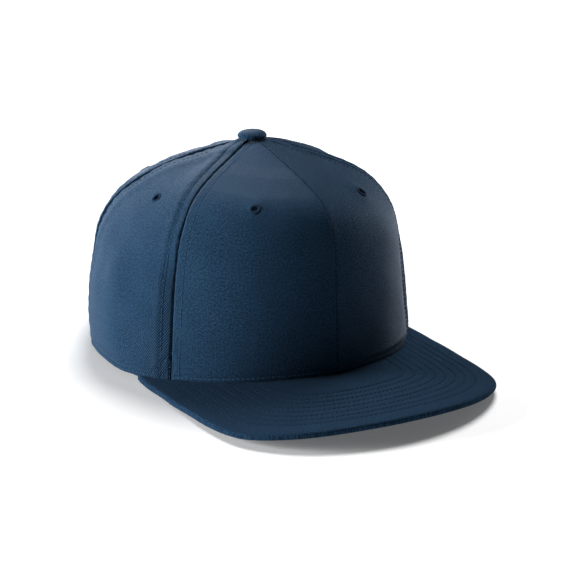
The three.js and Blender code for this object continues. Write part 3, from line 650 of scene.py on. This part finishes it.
def shape_panel(panel):
    piece = blanks[panel]
    place, side = panel.split("_")
    change(piece, "BEVEL", width=EDGE_ROUND, segments=2, limit_method="ANGLE", angle_limit=SHARP_ANGLE)
    change(piece, "SUBSURF", levels=SMOOTH_LEVELS, render_levels=SMOOTH_LEVELS)
    points, normals = points_of(piece), normals_of(piece)
    outwards = points - np.array(CROWN_MIDDLE)
    outwards /= np.linalg.norm(outwards, axis=1)[:, None]
    facing = (outwards * normals).sum(axis=1)
    shut = np.zeros(len(points))
    out = np.zeros(len(points))
    for first, second, stitched in SEAMS:
        if panel not in (first, second):
            continue
        line = seam_lines[(first, second)]
        distance, way = distances(points, line)
        shut[(np.abs(facing) < EDGE_FACING) & (distance < WALL)] = SEAM_SHUT
        kind = "rear" if second.startswith("rear") else place
        if not stitched:
            high = share_between(points[:, 2], PLAIN_SEAM["from"], PLAIN_SEAM["to"])
            depth = PLAIN_SEAM["low"] + (PLAIN_SEAM["high"] - PLAIN_SEAM["low"]) * high
            out += depth * relief(distance, [{"at": 0, "width": PLAIN_SEAM["width"], "out": 1}])
            continue
        pucker = 1 + PUCKER_SHARE * np.sin(2 * math.pi * way / PUCKER_PITCH + 1.5 * np.sin(way / 0.017))
        out += relief(distance, SEAM_RELIEF[kind]) * pucker
        if kind == "side":
            high = share_between(points[:, 2], PUFF["from"], PUFF["to"])
            out += PUFF["out"] * high * np.exp(-(((distance - PUFF["at"]) / PUFF["width"]) ** 2))
    distance, _ = distances(points, rim_lines[panel])
    out += relief(distance, EDGE_RELIEF)
    if panel in arch_lines:
        distance, _ = distances(points, arch_lines[panel])
        out += relief(distance, ARCH_RELIEF)
    out += SOFT_WAVE[place] * MM * soft_noise(points, 38 * MM, len(panel) + SIDES[side])
    out *= np.clip(facing / EDGE_FACING, 0, 1)
    set_points(piece, points + outwards * out[:, None] + normals * shut[:, None])
    mark = math.radians(PANEL_TURNS[place]) * SIDES[side]
    lay_grain(piece, mark)
    mark_tightness(piece, panel)
    return done(piece, CROWN_TWILL, "navy_twill", f"crown_{panel}")


def arch_line(panel):
    """The edge of the back's arch on the outside, from its foot to the middle."""
    outer = outer_ones(np.vstack([outlines[panel]["arch"], outlines[panel]["rim"]]))
    foot = outer[outer[:, 2] < REAR_RIM_TOP]
    foot = foot[np.argmin(np.abs(foot[:, 0]))]
    arch = outer[outer[:, 2] > REAR_RIM_TOP]
    arch = arch[np.argsort(-np.abs(arch[:, 0]))]
    return smooth_line(np.vstack([foot, arch]))


arch_lines = {panel: arch_line(panel) for panel in PANEL_NAMES if panel.startswith("rear")}
print("arch lengths in mm:", [round(len(line) * OUTLINE_STEP / MM) for line in arch_lines.values()])
panels = {panel: shape_panel(panel) for panel in PANEL_NAMES}
print("corners in each panel:", {name: len(p.data.vertices) for name, p in panels.items()})

# %% [markdown]
# The visor is a stiff board with cloth drawn over it and eight rows of stitching that follow its edge.
# A row keeps its distance from the edge, and its corners are rounded, as a machine sews them. The visor
# is subdivided, and each row is pressed in by the same kind of relief, measured from the row in plan.

# %% Shape the visor
VISOR_ROWS = 8
FIRST_ROW = 10.8 * MM
ROW_PITCH = 5.4 * MM
ROW_WIDTH = 0.75
ROW_DEPTH = -0.3
VISOR_PIVOT_BACK = 40 * MM
OUTLINE_TURN = 101
ROW_ROUNDING = 30


def visor_outline(piece):
    """The visor's edge in plan, from its right corner to its left one."""
    points = points_of(piece)
    pivot = np.array([CROWN_AXIS.x, CROWN_AXIS.y - VISOR_PIVOT_BACK])
    away = points[:, :2] - pivot
    turn = np.degrees(np.arctan2(away[:, 0], -away[:, 1]))
    reach = np.hypot(away[:, 0], away[:, 1])
    turns = np.arange(-OUTLINE_TURN, OUTLINE_TURN + 1, 1.0)
    found = [(t, reach[np.abs(turn - t) < 0.8].max()) for t in turns if (np.abs(turn - t) < 0.8).any()]
    t, r = np.array(found).T
    r = np.convolve(np.pad(r, 2, mode="edge"), np.ones(5) / 5, mode="valid")
    t = np.radians(t)
    plan = np.stack([pivot[0] + r * np.sin(t), pivot[1] - r * np.cos(t), np.zeros(len(t))], axis=1)
    return even_line(plan, OUTLINE_STEP)


def row_line(edge, offset):
    """A row in plan, a distance inside the edge, with its corners rounded as a machine sews them."""
    inwards = np.gradient(edge, axis=0)
    inwards = np.stack([-inwards[:, 1], inwards[:, 0], np.zeros(len(inwards))], axis=1)
    inwards /= np.linalg.norm(inwards, axis=1)[:, None]
    line = edge + inwards * offset
    away, _ = distances(line, edge)
    line = even_line(line[away > offset - 0.15 * MM], OUTLINE_STEP)
    return evened(line, ROW_ROUNDING)


def evened(rows, reach):
    """Each row averaged with those around it, so that a line or a way runs smoothly."""
    window = np.hanning(2 * reach + 3)[1:-1]
    window /= window.sum()
    padded = np.pad(rows, ((reach, reach), (0, 0)), mode="edge")
    return np.stack([np.convolve(padded[:, k], window, mode="valid") for k in range(rows.shape[1])], 1)


def shape_visor():
    piece = copy_of("visor", "visor_cloth")
    crease_sharp_edges(piece)
    change(piece, "SUBSURF", levels=SMOOTH_LEVELS, render_levels=SMOOTH_LEVELS)
    edge = visor_outline(piece)
    points, normals = points_of(piece), normals_of(piece)
    plan = points * [1, 1, 0]
    lines = [row_line(edge, FIRST_ROW + k * ROW_PITCH) for k in range(VISOR_ROWS)]
    flat = np.abs(normals[:, 2]) > 0.5
    groove = [{"at": 0, "width": ROW_WIDTH, "out": ROW_DEPTH}]
    out = sum(relief(distances(plan, line)[0], groove) for line in lines)
    set_points(piece, points + normals * (out * flat)[:, None])
    write_map(piece, points[:, 0], points[:, 1])
    write_tightness(piece, np.clip((np.abs(normals[:, 2]) - 0.8) / 0.15, 0, 1))
    return done(piece, VISOR_TWILL, "navy_visor_cloth", "visor"), lines


visor, row_lines = shape_visor()
print("visor corners:", len(visor.data.vertices))
print("visor rows in mm:", [round(len(line) * OUTLINE_STEP / MM) for line in row_lines])

# %% [markdown]
# The button is a metal shell with the crown's cloth pulled over it. A copy of its solid is subdivided,
# which shrinks it, so it is stretched back to the solid's box. It gets the same twill.

# %% Cover the button
BUTTON_LEVELS = 3


def cover_button():
    piece = copy_of("top_button", "button_cloth")
    change(piece, "SUBSURF", levels=BUTTON_LEVELS, render_levels=BUTTON_LEVELS)
    points = points_of(piece)
    low, high = points.min(axis=0), points.max(axis=0)
    full_low, full_high = np.array(button_low), np.array(button_high)
    set_points(piece, full_low + (points - low) * (full_high - full_low) / (high - low))
    points = points_of(piece)
    write_map(piece, points[:, 0] - CROWN_AXIS.x, points[:, 1] - CROWN_AXIS.y)
    write_tightness(piece, np.full(len(points), SLACK))
    return done(piece, CROWN_TWILL, "navy_twill", "top_button")


button = cover_button()

# %% [markdown]
# The inside band, the tape behind the arch and the two strap halves are simple strips. Their copies get
# rounded edges. The cloth strips are subdivided too, and the plastic keeps its flat faces.

# %% Finish the strips
STRIP_LEVELS = 2
STRIP_ROUND = 0.3 * MM
PLASTIC_ANGLE = math.radians(35)


def cloth_strip(node, name):
    piece = copy_of(node, name)
    limit = {"limit_method": "ANGLE", "angle_limit": SHARP_ANGLE}
    change(piece, "BEVEL", width=STRIP_ROUND, segments=2, **limit)
    change(piece, "SUBSURF", levels=STRIP_LEVELS, render_levels=STRIP_LEVELS)
    return done(piece, BAND_TWILL, "dark_band_cloth", node)


def plastic_strip(node, name):
    piece = copy_of(node, name)
    limit = {"limit_method": "ANGLE", "angle_limit": PLASTIC_ANGLE}
    change(piece, "BEVEL", width=STRIP_ROUND, segments=3, **limit)
    return done(piece, PLASTIC, "navy_plastic", node)


band = cloth_strip("sweatband", "band_cloth")
arch_tape = cloth_strip("back_arch_tape", "arch_tape_cloth")
plastic_strip("snap_strap_holes", "strap_holes_plastic")
plastic_strip("snap_strap_pegs", "strap_pegs_plastic")

# %% [markdown]
# An eyelet is a hole with thread worked round it, close and radial. One ring is modelled from a torus,
# pressed flat, with every other spoke lowered so that the threads show. It is then copied to each hole,
# turned to face the way that its solid faces, and sunk a little, as tight thread pulls the cloth in.

# %% Work the eyelets
RING_THREADS = 34
RING_RADIUS = 2.35 * MM
RING_THICKNESS = 1.1 * MM
RING_FLATNESS = 0.72
THREAD_DIP = 0.13 * MM
EYELET_SINKS = {"front": 0.4 * MM, "side": 0.65 * MM, "rear": 0.7 * MM}


def model_ring():
    bpy.ops.object.select_all(action="DESELECT")
    bpy.ops.mesh.primitive_torus_add(
        major_segments=2 * RING_THREADS,
        minor_segments=10,
        major_radius=RING_RADIUS,
        minor_radius=RING_THICKNESS,
    )
    ring = bpy.context.object
    bpy.ops.object.mode_set(mode="EDIT")
    bpy.ops.mesh.select_all(action="SELECT")
    bpy.ops.transform.resize(value=(1, 1, RING_FLATNESS))
    bpy.ops.object.mode_set(mode="OBJECT")
    points = points_of(ring)
    spoke = np.round(np.arctan2(points[:, 1], points[:, 0]) / (math.pi / RING_THREADS)).astype(int)
    reach = np.hypot(points[:, 0], points[:, 1])
    away = np.column_stack([points[:, :2] * (1 - RING_RADIUS / reach)[:, None], points[:, 2]])
    away /= np.linalg.norm(away, axis=1)[:, None]
    set_points(ring, points - away * (spoke % 2)[:, None] * THREAD_DIP)
    return ring


def axis_of(node):
    """The way a ring's solid faces: most of its surface looks along its axis."""
    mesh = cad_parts[node].data
    spread = np.zeros((3, 3))
    for face in mesh.polygons:
        normal = np.array(face.normal)
        spread += face.area * np.outer(normal, normal)
    axis = Vector(np.linalg.eigh(spread)[1][:, -1])
    low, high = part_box(node)
    return axis if axis.dot((low + high) / 2 - CROWN_MIDDLE) > 0 else -axis


def work_eyelets():
    ring = model_ring()
    for panel in PANEL_NAMES:
        node = f"eyelet_{panel}"
        low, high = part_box(node)
        axis = axis_of(node)
        eyelet = bpy.data.objects.new(f"eyelet_{panel}_thread", ring.data.copy())
        bpy.context.scene.collection.objects.link(eyelet)
        corners = points_of(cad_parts[node])
        along = (corners - np.array(low)) @ np.array(axis)
        centre = np.array((low + high) / 2)
        top = along.max() - (centre - np.array(low)) @ np.array(axis)
        sunk = EYELET_SINKS[panel.split("_")[0]]
        seat = Vector(centre) + axis * (top - RING_THICKNESS * RING_FLATNESS - sunk)
        turn = axis.to_track_quat("Z", "Y").to_matrix().to_4x4()
        turn.translation = seat
        eyelet.data.transform(turn)
        # The eyelet's ring gets the thread with painted shade.
        done(eyelet, PAINTED_SHADE_THREAD, "navy_thread", node)
    bpy.data.objects.remove(ring)


work_eyelets()

# %% [markdown]
# Real stitching is a row of short threads that dip into the cloth at both ends. One stitch is modelled
# from a small sphere, stretched and bent down at its ends. It is then copied along each row, so a row is
# a single mesh and the light catches every stitch.

# %% Sew the rows
STITCH_LENGTH = 1.9 * MM
STITCH_PITCH = 2.7 * MM
STITCH_THICKNESS = 0.65 * MM
STITCH_SINK = 0.22 * MM
STITCH_HEIGHT = 0.14 * MM
BUTTON_CLEAR = 9 * MM
SHORTEST_RUN = 20


def model_stitch():
    bpy.ops.object.select_all(action="DESELECT")
    bpy.ops.mesh.primitive_uv_sphere_add(segments=6, ring_count=6, radius=0.5)
    stitch = bpy.context.object
    centre = (0, 0, 0)
    bpy.ops.object.mode_set(mode="EDIT")
    bpy.ops.mesh.select_all(action="SELECT")
    bpy.ops.transform.rotate(value=math.pi / 2, orient_axis="Y", center_override=centre)
    bpy.ops.transform.resize(value=(STITCH_LENGTH, STITCH_THICKNESS, STITCH_THICKNESS))
    bpy.ops.object.mode_set(mode="OBJECT")
    points = points_of(stitch)
    points[:, 2] -= STITCH_SINK * (2 * points[:, 0] / STITCH_LENGTH) ** 2
    set_points(stitch, points)
    return stitch


stitch = model_stitch()
stitch_points = points_of(stitch)
stitch_faces = [tuple(face.vertices) for face in stitch.data.polygons]
bpy.data.objects.remove(stitch)


def along_row(distance, way, values):
    return np.array([np.interp(distance, way, values[:, k]) for k in range(3)])


def sew(name, rows, thread):
    """One mesh of stitches along rows of (places, ways the cloth faces)."""
    points, faces = [], []
    for places, facings in rows:
        way = np.concatenate([[0], np.cumsum(np.linalg.norm(np.diff(places, axis=0), axis=1))])
        for middle in np.arange(STITCH_PITCH / 2, way[-1] - STITCH_PITCH / 2, STITCH_PITCH):
            ends = [middle - STITCH_LENGTH / 2, middle, middle + STITCH_LENGTH / 2]
            before, here, after = [along_row(end, way, places) for end in ends]
            facing = along_row(middle, way, facings)
            along = (after - before) / np.linalg.norm(after - before)
            facing -= along * (facing @ along)
            facing /= np.linalg.norm(facing)
            aside = np.cross(facing, along)
            turned = stitch_points @ np.array([along, aside, facing])
            start = sum(len(p) for p in points)
            points.append(here + turned + facing * STITCH_HEIGHT)
            faces += [tuple(start + corner for corner in face) for face in stitch_faces]
    mesh = bpy.data.meshes.new(name)
    mesh.from_pydata(np.vstack(points).tolist(), [], faces)
    piece = bpy.data.objects.new(name, mesh)
    bpy.context.scene.collection.objects.link(piece)
    print(name, len(points), "stitches")
    return done(piece, thread, "navy_thread")


def beside(line, offset, panel, tree):
    """A row on the panel's outside, a distance beside a line on its edge."""
    centre = points_of(panels[panel]).mean(axis=0)
    ways = evened(np.gradient(line, axis=0), 12)
    outwards = line - np.array(CROWN_MIDDLE)
    inside = [Vector(point + 0.1 * (centre - point)) for point in line]
    facing = evened(np.array([tree.find_nearest(place)[1] for place in inside]), 24)
    aside = evened(np.cross(ways, facing), 12)
    aside /= np.linalg.norm(aside, axis=1)[:, None]
    aside *= np.sign(((centre - line) * aside).sum())
    outwards /= np.linalg.norm(outwards, axis=1)[:, None]
    targets = line + aside * offset + outwards * 1.5 * MM
    found = [tree.find_nearest(Vector(target)) for target in targets]
    places = evened(np.array([hit[0] for hit in found]), 6)
    return places, evened(np.array([hit[1] for hit in found]), 6)


panel_trees = {panel: tree_of(piece) for panel, piece in panels.items()}


def seam_rows():
    rows = []
    for first, second, stitched in SEAMS:
        if not stitched:
            continue
        line = seam_lines[(first, second)]
        line = line[int(BUTTON_CLEAR / OUTLINE_STEP) :]
        rows += [beside(line, STITCH_OFFSET, panel, panel_trees[panel]) for panel in (first, second)]
    return rows


def rim_rows():
    return [beside(line, RIM_OFFSET, panel, panel_trees[panel]) for panel, line in rim_lines.items()]


def arch_rows():
    return [
        beside(line, offset, panel, panel_trees[panel])
        for panel, line in arch_lines.items()
        for offset in ARCH_OFFSETS
    ]


def inside_crown(point):
    """Whether a point over the visor is under the crown: the crown's wall is then outside it."""
    away = Vector((point[0] - CROWN_AXIS.x, point[1] - CROWN_AXIS.y, 0)).normalized()
    start = Vector(point) + Vector((0, 0, 4 * MM))
    return any(tree.ray_cast(start, away, 0.2)[0] is not None for tree in panel_trees.values())


def visor_rows():
    tree = tree_of(visor)
    rows = []
    for plan in row_lines:
        run = []
        for point in plan:
            start = Vector((point[0], point[1], 0.1))
            place, normal, _, _ = tree.ray_cast(start, Vector((0, 0, -1)))
            if place is None or inside_crown(place):
                if len(run) > SHORTEST_RUN:
                    rows.append(run)
                run = []
                continue
            run.append((place, normal))
        if len(run) > SHORTEST_RUN:
            rows.append(run)
    return [(np.array([p for p, _ in run]), np.array([n for _, n in run])) for run in rows]


seam_stitches = sew("seam_stitches", seam_rows(), CROWN_THREAD)
rim_stitches = sew("rim_stitches", rim_rows(), CROWN_THREAD)
# The arch's and the visor's rows get the thread with painted shade.
arch_stitches = sew("arch_stitches", arch_rows(), PAINTED_SHADE_THREAD)
visor_stitches = sew("visor_stitches", visor_rows(), PAINTED_SHADE_THREAD)

# %% [markdown]
# Each panel's map, measured along the cloth, is read, and nothing more is done with it. The band's and
# the tape's widths and lengths are each measured along them, apart from their surface, so that
# comparing the two is a real test. The share of their surface that width times length accounts for is
# printed.

STRIP_STEP = math.radians(3)
LEAST_WIDTH = 10 * MM


def half_surface(piece):
    return sum(face.area for face in piece.data.polygons) / 2


def declare_panel(panel):
    piece = panels[panel]
    layer = piece.data.uv_layers["grain"].data
    places = np.empty(len(layer) * 2)
    layer.foreach_get("uv", places)


def declare_strip(piece, turns, across):
    """A strip's width is its spread across, and its length joins its middles, a few degrees apart."""
    points = points_of(piece)
    marks = np.round(turns / STRIP_STEP)
    groups = [marks == mark for mark in np.unique(marks)]
    middles = np.array([points[group].mean(axis=0) for group in groups])
    steps = np.linalg.norm(np.diff(middles, axis=0), axis=1)
    length = float(steps.sum() * len(groups) / len(steps))
    measured = float(np.median([np.ptp(across[group]) for group in groups]))
    width = max(measured, LEAST_WIDTH)
    share = half_surface(piece) / (width * length)
    sizes = [round(size / MM, 1) for size in (measured, width, length)]
    print(piece.name, "measured and declared width, and length, in mm:", sizes)
    print(piece.name, "share of its area found:", round(share, 3))


for panel in panels:
    declare_panel(panel)

x, y, z = points_of(band).T
round_crown = np.arctan2(x - CROWN_AXIS.x, CROWN_AXIS.y - y)
declare_strip(band, round_crown, z)

x, y, z = points_of(arch_tape).T
up = z - REAR_RIM_TOP
declare_strip(arch_tape, np.arctan2(x, up), np.hypot(x, up))
